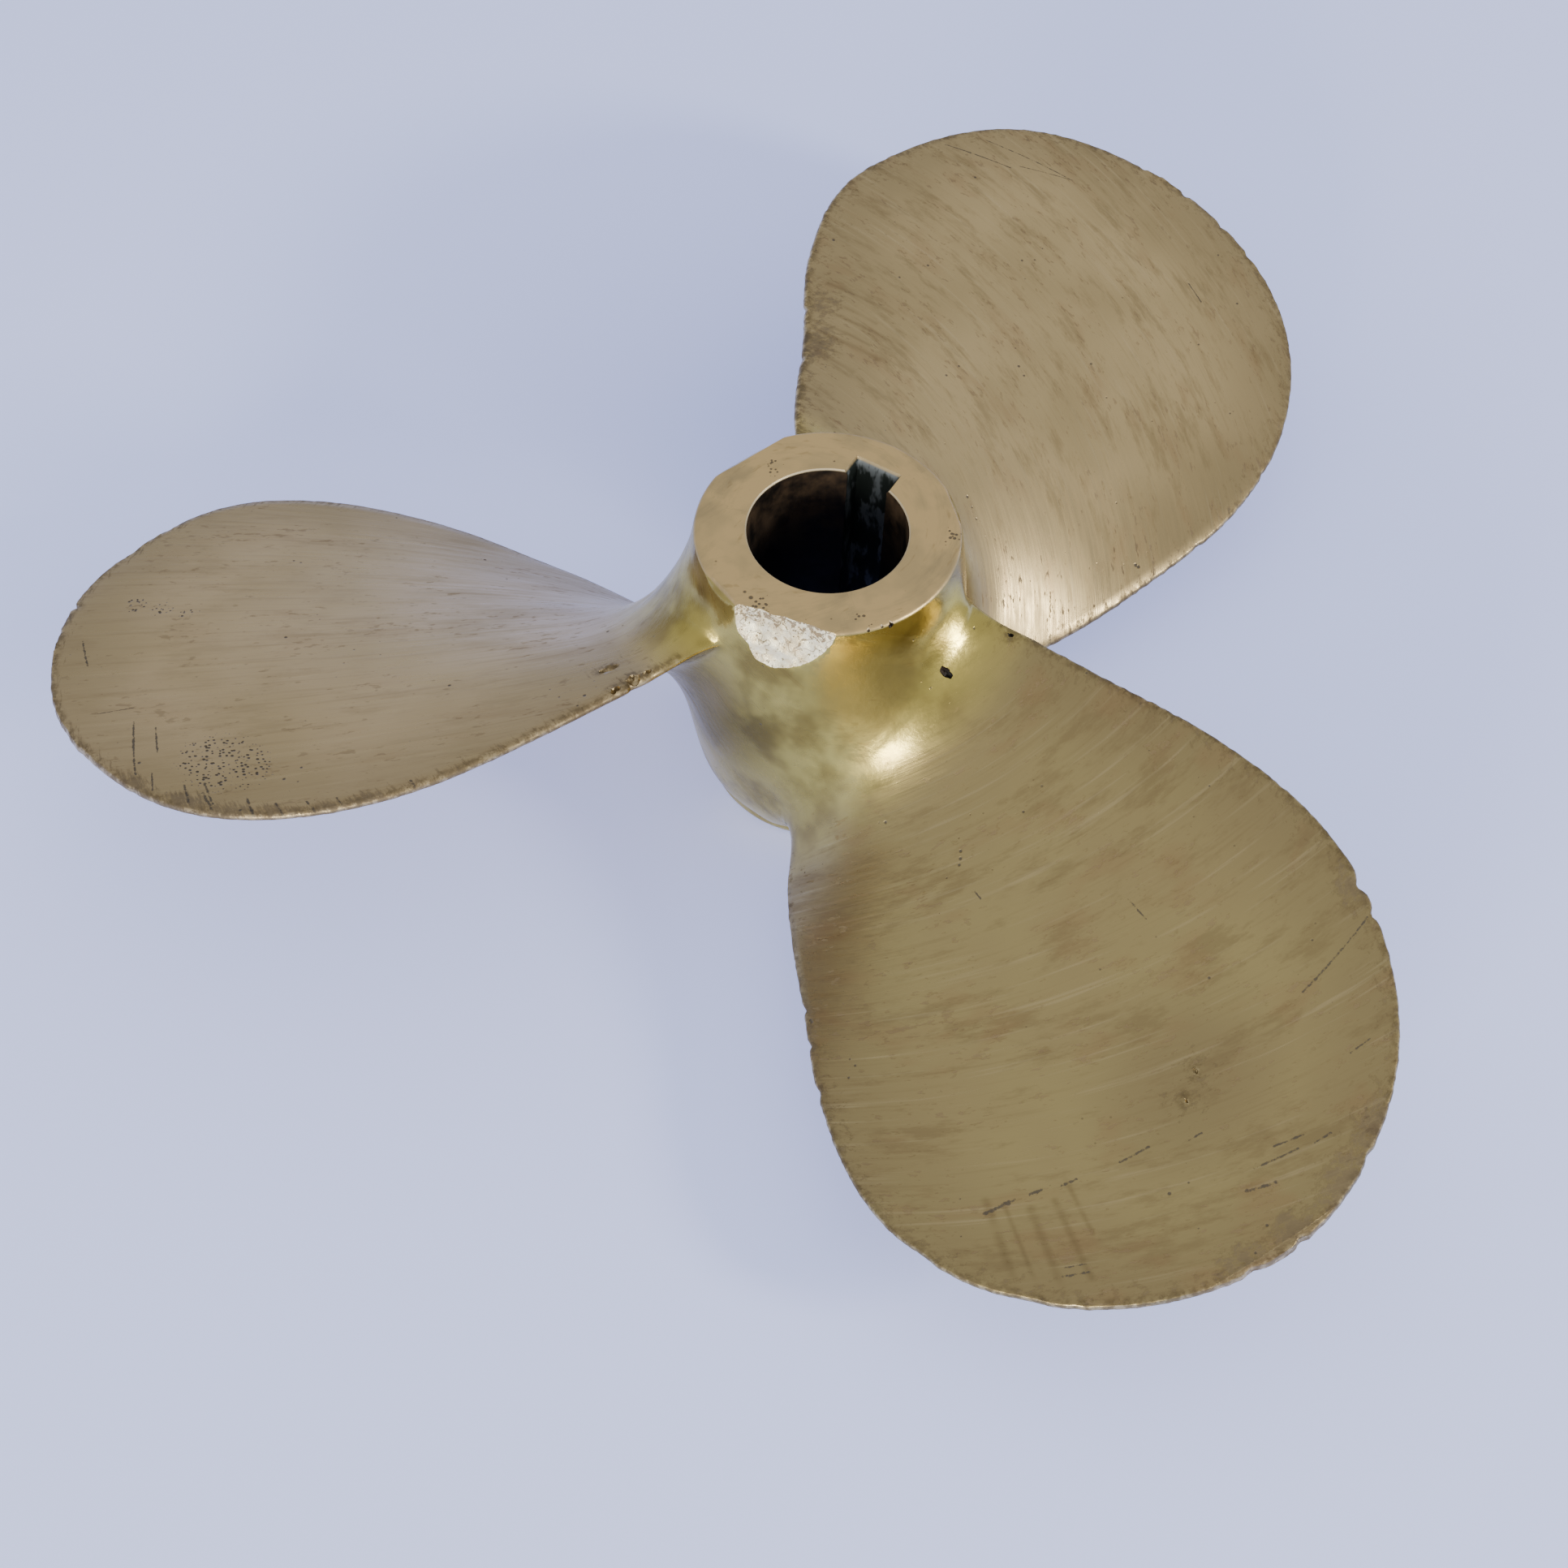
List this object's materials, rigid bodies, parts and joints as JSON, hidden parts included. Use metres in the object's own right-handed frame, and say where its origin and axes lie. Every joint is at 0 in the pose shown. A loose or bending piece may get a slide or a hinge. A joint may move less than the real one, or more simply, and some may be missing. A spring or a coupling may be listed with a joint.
{
  "type": "three-bladed boat propeller",
  "caption": "One-piece cast bronze boat propeller with broad round-tipped blades and a keyed tapered bore through the hub.",
  "frame": {"origin": "on the shaft axis at the centre of mass of the casting", "axes": "+Z along the shaft axis to the forward end of the hub, +Y through the keyway and the first blade"},
  "size_m": [0.3612, 0.3353, 0.09],
  "materials": {
    "cast_bronze": "worn satin bronze, brushed in places and darkened in pits, scratches and the bore"
  },
  "bodies": {
    "root": {"propeller_casting": "cast_bronze"}
  },
  "joints": []
}
